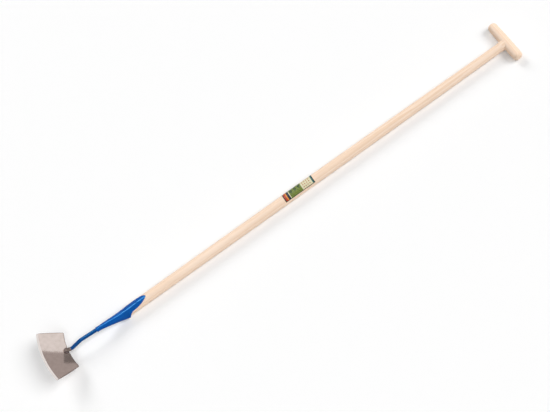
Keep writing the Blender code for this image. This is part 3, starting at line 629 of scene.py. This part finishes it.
# Each point of the wood's line carries its distance from the rim. Past the tongue it is straight
stations = [mm / 1000.0 for mm in (*range(-45, 0, 5), *range(0, 60, 10), 66, 1285)]
make_piece("shaft_ash", "shaft", turned_shaft, [(*wood_middle(x), x) for x in stations],
           thick_radius=SHAFT_RADIUS, thin_radius=SHAFT_TOP_RADIUS, taper=3.0, rim_radius=0.0147,
           cone_slope=0.0969, tongue_length=TONGUE_LENGTH, grip_from_rim=GRIP_FROM_RIM,
           shoulder=GRIP_FROM_RIM - GRIP_RADIUS, flare=0.0017, flare_length=0.018, sanding=0.00008,
           waves_per_metre=14.0, sides=64, spacing=0.004, wood=ash)

# The tenon's end, trimmed to the crosspiece's curve. It has shrunk, so it lies a little low
tenon_end, size = new_maker("tenon_end", face_x="Float", face_z="Float", face_radius="Float",
                            sides="Int", wood="Material")
line = add_node(tenon_end, "GeometryNodeMeshToCurve", {0: size["Geometry"]})
radius = add_node(tenon_end, "GeometryNodeInputNamedAttribute", {"Name": "size"}, data_type="FLOAT")
body = round_body(tenon_end, line, size["sides"], radius)
spot = add_node(tenon_end, "GeometryNodeInputPosition")
apart = add_node(tenon_end, "ShaderNodeSeparateXYZ", {0: spot.outputs[0]})
height = add_node(tenon_end, "ShaderNodeMath", {
    0: apart.outputs[2], 1: size["face_z"]}, operation="SUBTRACT")
height = add_node(tenon_end, "ShaderNodeMath", {0: height.outputs[0], 1: 2.0}, operation="POWER")
reach = add_node(tenon_end, "ShaderNodeMath", {0: size["face_radius"], 1: 2.0}, operation="POWER")
reach = add_node(tenon_end, "ShaderNodeMath", {
    0: reach.outputs[0], 1: height.outputs[0]}, operation="SUBTRACT")
reach = add_node(tenon_end, "ShaderNodeMath", {0: reach.outputs[0]}, operation="SQRT")
reach = add_node(tenon_end, "ShaderNodeMath", {0: reach.outputs[0], 1: size["face_x"]}, operation="ADD")
trimmed = add_node(tenon_end, "ShaderNodeMath", {
    0: apart.outputs[0], 1: reach.outputs[0]}, operation="MINIMUM")
trimmed = add_node(tenon_end, "ShaderNodeCombineXYZ", {
    0: trimmed.outputs[0], 1: apart.outputs[1], 2: apart.outputs[2]})
cut = add_node(tenon_end, "GeometryNodeSetPosition", {0: body.outputs[0], "Position": trimmed.outputs[0]})
end_maker(tenon_end, cut.outputs[0], size["wood"])

# The path passes the crosspiece's back and narrows in steps there, to be trimmed by the maker
grip = laid(GRIP_FROM_RIM, GRIP_OFFSET, 0.0)
tenon_path = [(grip.x - TENON_STARTS_BEFORE, 0.0, grip.z, TENON_RADIUS)]
for i in range(9):
    beyond = GRIP_RADIUS + TENON_PAST_BACK + TENON_STEP * i
    tenon_path.append((grip.x + beyond, 0.0, grip.z, TENON_RADIUS * (1.0 - TENON_STEP_NARROWS * i)))
make_piece("shaft_tenon", "shaft", tenon_end, tenon_path, face_x=grip.x, face_z=grip.z,
           face_radius=GRIP_RADIUS - TENON_SHRINKS, sides=40, wood=ash)


# Crosspiece. A short round of ash, turned with a slight belly and rounded ends, and bored right
# through for the shaft's tenon.
GRIP_LENGTH = 0.1330

# A round turned to a belly with quarter round ends, and drilled along X
bored_crosspiece, size = new_maker("bored_crosspiece", length="Float", middle_radius="Float",
                                   end_radius="Float", end_round="Float", bore_radius="Float",
                                   bore_length="Float", bore_x="Float", bore_z="Float",
                                   stations="Int", sides="Int", wood="Material")
line = add_node(bored_crosspiece, "GeometryNodeMeshToCurve", {0: size["Geometry"]})
even = add_node(bored_crosspiece, "GeometryNodeResampleCurve", {
    "Curve": line.outputs[0], "Count": size["stations"]}, mode="COUNT")
walked = add_node(bored_crosspiece, "GeometryNodeSplineParameter")
off = add_node(bored_crosspiece, "ShaderNodeMath", {
    0: walked.outputs["Factor"], 1: 0.5}, operation="SUBTRACT")
off = add_node(bored_crosspiece, "ShaderNodeMath", {
    0: off.outputs[0], 1: size["length"]}, operation="MULTIPLY")
off = add_node(bored_crosspiece, "ShaderNodeMath", {0: off.outputs[0]}, operation="ABSOLUTE")
half = add_node(bored_crosspiece, "ShaderNodeMath", {0: size["length"], 1: 0.5}, operation="MULTIPLY")
straight = add_node(bored_crosspiece, "ShaderNodeMath", {0: half.outputs[0], 1: size["end_round"]},
                    operation="SUBTRACT")
share = add_node(bored_crosspiece, "ShaderNodeMath", {0: off.outputs[0], 1: straight.outputs[0]},
                 operation="DIVIDE", use_clamp=True)
share = add_node(bored_crosspiece, "ShaderNodeMath", {0: share.outputs[0], 1: 2.0}, operation="POWER")
belly = add_node(bored_crosspiece, "ShaderNodeMapRange", {
    "Value": share.outputs[0], "To Min": size["middle_radius"], "To Max": size["end_radius"]})
over = add_node(bored_crosspiece, "ShaderNodeMath", {0: off.outputs[0], 1: straight.outputs[0]},
                operation="SUBTRACT")
over = add_node(bored_crosspiece, "ShaderNodeMath", {0: over.outputs[0], 1: 0.0}, operation="MAXIMUM")
over = add_node(bored_crosspiece, "ShaderNodeMath", {0: over.outputs[0], 1: 2.0}, operation="POWER")
rest = add_node(bored_crosspiece, "ShaderNodeMath", {0: size["end_round"], 1: 2.0}, operation="POWER")
rest = add_node(bored_crosspiece, "ShaderNodeMath", {0: rest.outputs[0], 1: over.outputs[0]},
                operation="SUBTRACT")
rest = add_node(bored_crosspiece, "ShaderNodeMath", {0: rest.outputs[0], 1: 0.0}, operation="MAXIMUM")
rest = add_node(bored_crosspiece, "ShaderNodeMath", {0: rest.outputs[0]}, operation="SQRT")
lost = add_node(bored_crosspiece, "ShaderNodeMath", {0: size["end_round"], 1: rest.outputs[0]},
                operation="SUBTRACT")
radius = add_node(bored_crosspiece, "ShaderNodeMath", {0: belly.outputs[0], 1: lost.outputs[0]},
                  operation="SUBTRACT")
body = round_body(bored_crosspiece, even, size["sides"], radius)
drill = add_node(bored_crosspiece, "GeometryNodeMeshCylinder", {
    "Vertices": size["sides"], "Radius": size["bore_radius"], "Depth": size["bore_length"]})
drill_at = add_node(bored_crosspiece, "ShaderNodeCombineXYZ", {0: size["bore_x"], 2: size["bore_z"]})
drill = add_node(bored_crosspiece, "GeometryNodeTransform", {
    0: drill.outputs[0], "Translation": drill_at.outputs[0], "Rotation": (0.0, math.radians(90.0), 0.0)})
bored = add_node(bored_crosspiece, "GeometryNodeMeshBoolean", {
    0: body.outputs[0], 1: drill.outputs[0]}, operation="DIFFERENCE", solver="EXACT")
end_maker(bored_crosspiece, bored.outputs[0], size["wood"])

grip_path = [(grip.x, grip.y + end * GRIP_LENGTH, grip.z, 0.0) for end in (-0.5, 0.5)]
make_piece("t_grip_ash", "t_grip", bored_crosspiece, grip_path, length=GRIP_LENGTH,
           middle_radius=GRIP_RADIUS, end_radius=0.0136, end_round=0.0090, bore_radius=0.0081,
           bore_length=0.060, bore_x=grip.x, bore_z=grip.z, stations=180, sides=64,
           wood=turned_ash("turned_ash_crosspiece", along=1, pith=(0.800, 0.0, -0.030)))


# Tenon wedge. A sliver of oak, darker than the ash, split along its grain. It is driven into a
# saw cut in the tenon's end, which it spreads in the crosspiece's bore, and is sanded flush.
dress("tenon_wedge", turned_ash("split_oak_wedge", along=0, pith=(0.0, 0.020, -0.010),
                                pale="#C9A57E", dark="#A37C55"))


# Label. A sheet of coated paper, printed in garden colours and glued round the shaft. Its design
# is a plain one of stripes, leaves and seeds.
LABEL_START = 0.5440
LABEL_LENGTH = 0.0990
LABEL_RADIUS = 0.01515
LABEL_NARROWS = 0.00014
LABEL_THICKNESS = 0.0002
LABEL_FROM_ANGLE = -62.0
LABEL_TO_ANGLE = 98.0
GREEN_MIDDLE_MM = 40.1
GREEN_HALF_MM = 18.9
BRUSH_WIDTH_MM = 1.82
BRUSH_SLANT = 0.55
LEAF_HALF_PITCH_MM = 6.43
LEAF_HALF_LENGTH_MM = 9.5
LEAF_HALF_WIDTH_MM = 3.4
RIB_HALF_MM = 0.45
CREAM_MIDDLE_MM = 76.2
CREAM_HALF_MM = 13.3
SEED_HALF_PITCH_MM = 3.3
SEED_RADIUS_MM = 1.5
RULE_MM = 1.9

# A sheet bent round a line, with its flat place kept as its UV map
wrapped_label, size = new_maker("wrapped_label", radius="Float", narrowing="Float", from_angle="Float",
                                to_angle="Float", thickness="Float", along="Int", around="Int",
                                paper="Material")
line = add_node(wrapped_label, "GeometryNodeMeshToCurve", {0: size["Geometry"]})
flat = add_node(wrapped_label, "GeometryNodeMeshGrid", {"Size X": 1.0, "Size Y": 1.0,
                                                        "Vertices X": size["along"],
                                                        "Vertices Y": size["around"]})
kept = add_node(wrapped_label, "GeometryNodeStoreNamedAttribute", {
    0: flat.outputs["Mesh"], "Name": "UVMap", "Value": flat.outputs["UV Map"]},
    data_type="FLOAT2", domain="CORNER")
spot = add_node(wrapped_label, "GeometryNodeInputPosition")
apart = add_node(wrapped_label, "ShaderNodeSeparateXYZ", {0: spot.outputs[0]})
share = add_node(wrapped_label, "ShaderNodeMath", {0: apart.outputs[0], 1: 0.5}, operation="ADD")
angle = add_node(wrapped_label, "ShaderNodeMapRange", {
    "Value": apart.outputs[1], "From Min": -0.5, "From Max": 0.5, "To Min": size["from_angle"],
    "To Max": size["to_angle"]})
sine = add_node(wrapped_label, "ShaderNodeMath", {0: angle.outputs[0]}, operation="SINE")
cosine = add_node(wrapped_label, "ShaderNodeMath", {0: angle.outputs[0]}, operation="COSINE")
out = add_node(wrapped_label, "ShaderNodeCombineXYZ", {1: sine.outputs[0], 2: cosine.outputs[0]})
reach = add_node(wrapped_label, "ShaderNodeMath", {0: share.outputs[0], 1: size["narrowing"]},
                 operation="MULTIPLY")
reach = add_node(wrapped_label, "ShaderNodeMath", {0: size["radius"], 1: reach.outputs[0]},
                 operation="SUBTRACT")
out = add_node(wrapped_label, "ShaderNodeVectorMath", {0: out.outputs[0], "Scale": reach.outputs[0]},
               operation="SCALE")
axis_at = add_node(wrapped_label, "GeometryNodeSampleCurve", {
    "Curves": line.outputs[0], "Factor": share.outputs[0]}, mode="FACTOR")
bent = add_node(wrapped_label, "ShaderNodeVectorMath", {
    0: axis_at.outputs["Position"], 1: out.outputs[0]}, operation="ADD")
bent = add_node(wrapped_label, "GeometryNodeSetPosition", {
    0: kept.outputs[0], "Position": bent.outputs[0]})
front = add_node(wrapped_label, "GeometryNodeExtrudeMesh", {
    "Mesh": bent.outputs[0], "Offset Scale": size["thickness"], "Individual": False}, mode="FACES")
rear = add_node(wrapped_label, "GeometryNodeFlipFaces", {0: bent.outputs[0]})
sheet = add_node(wrapped_label, "GeometryNodeJoinGeometry", {0: front.outputs["Mesh"]})
wrapped_label.links.new(rear.outputs[0], sheet.inputs[0])
sheet = add_node(wrapped_label, "GeometryNodeMergeByDistance", {0: sheet.outputs[0], "Distance": 0.00001})
end_maker(wrapped_label, sheet.outputs[0], size["paper"])

# Coated paper, offset printed: flat colours under a soft sheen. The print is worked out in
# millimetres along and across the paper
paper, tree, place = new_finish("coated_paper_offset_printed")
width_mm = LABEL_RADIUS * math.radians(LABEL_TO_ANGLE - LABEL_FROM_ANGLE) * 1000.0
flat = add_node(tree, "ShaderNodeUVMap", uv_map="UVMap")
apart = add_node(tree, "ShaderNodeSeparateXYZ", {0: flat.outputs[0]})
u_mm = add_node(tree, "ShaderNodeMath", {
    0: apart.outputs[0], 1: LABEL_LENGTH * 1000.0}, operation="MULTIPLY")
v_mm = add_node(tree, "ShaderNodeMath", {0: apart.outputs[1], 1: width_mm, 2: -0.5 * width_mm},
                operation="MULTIPLY_ADD")
ground = add_node(tree, "ShaderNodeValToRGB", {0: apart.outputs[0]}, stops=(
    (0.00, linear("#2B3319")), (0.03, linear("#B23A28")), (0.08, linear("#DE8A34")),
    (0.12, linear("#1B2A33")), (0.19, linear("#DDD8B4")), (0.21, linear("#58692A")),
    (0.60, linear("#DDD8B4")), (0.94, linear("#2A6060")), (0.98, linear("#2B3319"))))
ground.color_ramp.interpolation = "CONSTANT"
# Slanting brush strokes on the green, 1.8 mm wide
slant = add_node(tree, "ShaderNodeMath", {0: v_mm.outputs[0], 1: BRUSH_SLANT, 2: u_mm.outputs[0]},
                 operation="MULTIPLY_ADD")
brush = add_node(tree, "ShaderNodeTexNoise", {
    "W": slant.outputs[0], "Scale": 1.0 / BRUSH_WIDTH_MM, "Detail": 2.0}, noise_dimensions="1D")
strokes = add_node(tree, "ShaderNodeMapRange", {
    "Value": brush.outputs[0], "From Min": 0.48, "From Max": 0.62})
# Three leaves across the green, each with a midrib
third = add_node(tree, "ShaderNodeMath", {0: u_mm.outputs[0], 1: GREEN_MIDDLE_MM}, operation="SUBTRACT")
third = add_node(tree, "ShaderNodeMath", {
    0: third.outputs[0], 1: LEAF_HALF_PITCH_MM, 2: -LEAF_HALF_PITCH_MM}, operation="WRAP")
beside = add_node(tree, "ShaderNodeMath", {0: third.outputs[0]}, operation="ABSOLUTE")
swell = add_node(tree, "ShaderNodeMath", {0: v_mm.outputs[0], 1: LEAF_HALF_LENGTH_MM}, operation="DIVIDE")
swell = add_node(tree, "ShaderNodeMath", {0: swell.outputs[0], 1: 2.0}, operation="POWER")
swell = add_node(tree, "ShaderNodeMath", {0: 1.0, 1: swell.outputs[0]}, operation="SUBTRACT")
swell = add_node(tree, "ShaderNodeMath", {0: swell.outputs[0], 1: LEAF_HALF_WIDTH_MM},
                 operation="MULTIPLY")
leaf = add_node(tree, "ShaderNodeMath", {0: beside.outputs[0], 1: swell.outputs[0]}, operation="LESS_THAN")
rib = add_node(tree, "ShaderNodeMath", {0: beside.outputs[0], 1: RIB_HALF_MM}, operation="GREATER_THAN")
leaf = add_node(tree, "ShaderNodeMath", {0: leaf.outputs[0], 1: rib.outputs[0]}, operation="MULTIPLY")
on_green = add_node(tree, "ShaderNodeMath", {
    0: u_mm.outputs[0], 1: GREEN_MIDDLE_MM, 2: GREEN_HALF_MM}, operation="COMPARE")
# Round seeds in rows both ways on the cream
row_u = add_node(tree, "ShaderNodeMath", {
    0: u_mm.outputs[0], 1: SEED_HALF_PITCH_MM, 2: -SEED_HALF_PITCH_MM}, operation="WRAP")
row_v = add_node(tree, "ShaderNodeMath", {
    0: v_mm.outputs[0], 1: SEED_HALF_PITCH_MM, 2: -SEED_HALF_PITCH_MM}, operation="WRAP")
cell = add_node(tree, "ShaderNodeCombineXYZ", {0: row_u.outputs[0], 1: row_v.outputs[0]})
cell = add_node(tree, "ShaderNodeVectorMath", {0: cell.outputs[0]}, operation="LENGTH")
seed = add_node(tree, "ShaderNodeMath", {
    0: cell.outputs["Value"], 1: SEED_RADIUS_MM}, operation="LESS_THAN")
on_cream = add_node(tree, "ShaderNodeMath", {
    0: u_mm.outputs[0], 1: CREAM_MIDDLE_MM, 2: CREAM_HALF_MM}, operation="COMPARE")
# A dark rule along both long edges
off_middle = add_node(tree, "ShaderNodeMath", {0: v_mm.outputs[0]}, operation="ABSOLUTE")
rule = add_node(tree, "ShaderNodeMath", {0: off_middle.outputs[0], 1: 0.5 * width_mm - RULE_MM},
                operation="GREATER_THAN")
strokes = add_node(tree, "ShaderNodeMath", {
    0: strokes.outputs[0], 1: on_green.outputs[0]}, operation="MULTIPLY")
leaf = add_node(tree, "ShaderNodeMath", {0: leaf.outputs[0], 1: on_green.outputs[0]}, operation="MULTIPLY")
seed = add_node(tree, "ShaderNodeMath", {0: seed.outputs[0], 1: on_cream.outputs[0]}, operation="MULTIPLY")
printed = ground.outputs[0]
for where, ink in ((strokes, "#8C9A3C"), (leaf, "#24401F"), (seed, "#B5502F"), (rule, "#2E3218")):
    printed = add_node(tree, "ShaderNodeMix", {0: where.outputs[0], 6: printed, 7: linear(ink)},
                       data_type="RGBA").outputs[2]
# The glue has cockled the paper a little
cockle = add_node(tree, "ShaderNodeTexNoise", {"Vector": place, "Scale": grain(7.69), "Detail": 2.0})
relief = add_node(tree, "ShaderNodeBump", {
    "Strength": 0.08, "Distance": 0.0005, "Height": cockle.outputs[0]})
shader = add_node(tree, "ShaderNodeBsdfPrincipled", {
    "Base Color": printed, "Roughness": 0.34, "Specular IOR Level": 0.4, "Normal": relief.outputs[0]})
add_node(tree, "ShaderNodeOutputMaterial", {"Surface": shader.outputs[0]})

label_path = [(*laid(x, 0.0, 0.0), 0.0) for x in (LABEL_START, LABEL_START + LABEL_LENGTH)]
make_piece("label_paper", "label", wrapped_label, label_path, radius=LABEL_RADIUS,
           narrowing=LABEL_NARROWS, from_angle=math.radians(LABEL_FROM_ANGLE),
           to_angle=math.radians(LABEL_TO_ANGLE), thickness=LABEL_THICKNESS, along=40, around=64,
           paper=paper)


# Studio. A white floor in a white room, lit softly from the crosspiece's end, from beyond the shaft
# and from the front. Cards that only reflections show give the steel and the enamel their contrast.
FLOOR_HALF = 6.0
FLOOR_GLOW = 0.12
ROOM_LIGHT = 0.12
CEILING_HEIGHT = 3.0
CEILING_EDGE_AT = Vector((4.400, 3.093))
CEILING_EDGE_ALONG = Vector((0.990, 0.142))
CEILING_EDGE_ENDS = (0.8, -0.6)
CEILING_BACK = 2.3
WARM_GREY = (1.0, 0.92, 0.90, 1.0)
FOCAL_LENGTH_PX = 1000.0
FRAME_WIDTH_PX = 550.0
SENSOR_MM = 36.0

# Matt white paper. It glows a little for the camera alone, so that the background reaches white
white, tree, _ = new_finish("floor_white_paper")
path = add_node(tree, "ShaderNodeLightPath")
matt = add_node(tree, "ShaderNodeBsdfDiffuse", {"Color": linear("#F1F1F1")})
glow = add_node(tree, "ShaderNodeEmission", {"Color": (1.0, 1.0, 1.0, 1.0), "Strength": FLOOR_GLOW})
dark = add_node(tree, "ShaderNodeEmission", {"Strength": 0.0})
seen = add_node(tree, "ShaderNodeMixShader", {
    0: path.outputs["Is Camera Ray"], 1: dark.outputs[0], 2: glow.outputs[0]})
both = add_node(tree, "ShaderNodeAddShader", {0: matt.outputs[0], 1: seen.outputs[0]})
add_node(tree, "ShaderNodeOutputMaterial", {"Surface": both.outputs[0]})
sheet = bpy.data.meshes.new("floor")
sheet.from_pydata([(x * FLOOR_HALF, y * FLOOR_HALF, 0.0) for x, y in ((-1, -1), (1, -1), (1, 1), (-1, 1))],
                  [], [(0, 1, 2, 3)])
sheet.materials.append(white)
floor = bpy.data.objects.new("floor", sheet)
bpy.context.scene.collection.objects.link(floor)

# The camera, reflections and glass see a white room, and the hoe gets only a little of its light
world = bpy.data.worlds.new("white_room")
world.use_nodes = True
tree = world.node_tree
tree.nodes.clear()
path = add_node(tree, "ShaderNodeLightPath")
shown = add_node(tree, "ShaderNodeMath", {
    0: path.outputs["Is Camera Ray"], 1: path.outputs["Is Glossy Ray"]}, operation="MAXIMUM")
shown = add_node(tree, "ShaderNodeMath", {0: shown.outputs[0], 1: path.outputs["Is Transmission Ray"]},
                 operation="MAXIMUM")
strength = add_node(tree, "ShaderNodeMapRange", {
    "Value": shown.outputs[0], "To Min": ROOM_LIGHT, "To Max": 1.0})
room = add_node(tree, "ShaderNodeBackground", {
    "Color": (1.0, 1.0, 1.0, 1.0), "Strength": strength.outputs[0]})
add_node(tree, "ShaderNodeOutputWorld", {"Surface": room.outputs[0]})
bpy.context.scene.world = world


def soft_sun(name, towards, strength, spread):
    """An even light from far away. Reflections don't show it."""
    lamp = bpy.data.objects.new(name, bpy.data.lights.new(name, "SUN"))
    lamp.data.energy = strength
    lamp.data.angle = math.radians(spread)
    lamp.rotation_euler = Vector(towards).to_track_quat("Z", "Y").to_euler()
    lamp.visible_glossy = False
    bpy.context.scene.collection.objects.link(lamp)


soft_sun("key", (1.00, -0.45, 1.00), strength=1.85, spread=30.0)
soft_sun("side", (-0.15, 0.90, 0.62), strength=1.40, spread=30.0)
soft_sun("front", (0.00, -0.50, 0.87), strength=0.80, spread=50.0)


def reflected_card(name, corners, strength, colour=(1.0, 1.0, 1.0, 1.0)):
    """A glowing card that only reflections show."""
    material, tree, _ = new_finish(name)
    glow = add_node(tree, "ShaderNodeEmission", {"Color": colour, "Strength": strength})
    add_node(tree, "ShaderNodeOutputMaterial", {"Surface": glow.outputs[0]})
    mesh = bpy.data.meshes.new(name)
    mesh.from_pydata(corners, [], [tuple(range(len(corners)))])
    mesh.materials.append(material)
    card = bpy.data.objects.new(name, mesh)
    for ray in ("camera", "diffuse", "transmission", "volume_scatter", "shadow"):
        setattr(card, "visible_" + ray, False)
    bpy.context.scene.collection.objects.link(card)


# The blade mirrors the white room and a grey ceiling, and the ceiling's edge parts its bright half
# from its dark one
far, near = (CEILING_EDGE_AT + t * CEILING_EDGE_ALONG for t in CEILING_EDGE_ENDS)
reflected_card("grey_ceiling", [(far.x, far.y, CEILING_HEIGHT), (near.x, near.y, CEILING_HEIGHT),
                                (near.x, CEILING_BACK, CEILING_HEIGHT),
                                (far.x, CEILING_BACK, CEILING_HEIGHT)],
               strength=0.49, colour=WARM_GREY)
# A darker flag just below the ceiling is the dark patch beside the neck's foot
reflected_card("dark_flag", [(4.682, 3.130, 2.99), (4.948, 3.170, 2.99), (4.862, 3.038, 2.99),
                             (4.592, 2.984, 2.99)], strength=0.24, colour=WARM_GREY)
# The enamel mirrors a dark wall beyond the hoe
reflected_card("dark_wall", [(-2.1, 2.2, 0.05), (-1.3, 2.2, 0.05), (-1.3, 2.2, 1.7),
                             (-2.1, 2.2, 1.7)], strength=0.04)
# Level cards: a lit panel and its tube make the enamel's pale stripe, and grey strips on the floor
# make its edges darker. Each has its limits along X and along Y, its height and its strength
for name, (left, right), (low, high), height, strength in (
    ("lit_panel", (-1.7, -0.4), (0.45, 1.95), 2.98, 7.5),
    ("lit_tube", (-1.7, -0.4), (0.90, 1.10), 2.97, 25.0),
    ("dark_strip_left", (-0.66, -0.46), (0.02, 0.60), 0.001, 0.40),
    ("dark_strip_right", (-0.66, -0.46), (-0.40, -0.02), 0.001, 0.40),
):
    reflected_card(name, [(left, low, height), (right, low, height), (right, high, height),
                          (left, high, height)], strength)

camera = bpy.data.objects.new("camera", bpy.data.cameras.new("camera"))
camera.data.sensor_width = SENSOR_MM
camera.data.lens = SENSOR_MM * FOCAL_LENGTH_PX / FRAME_WIDTH_PX
camera.location = (0.233335, -1.3286, 2.469876)
camera.rotation_euler = [math.radians(a) for a in (21.5075, 19.7218, -30.3656)]
bpy.context.scene.collection.objects.link(camera)
bpy.context.scene.camera = camera
bpy.context.scene.view_settings.view_transform = "Standard"
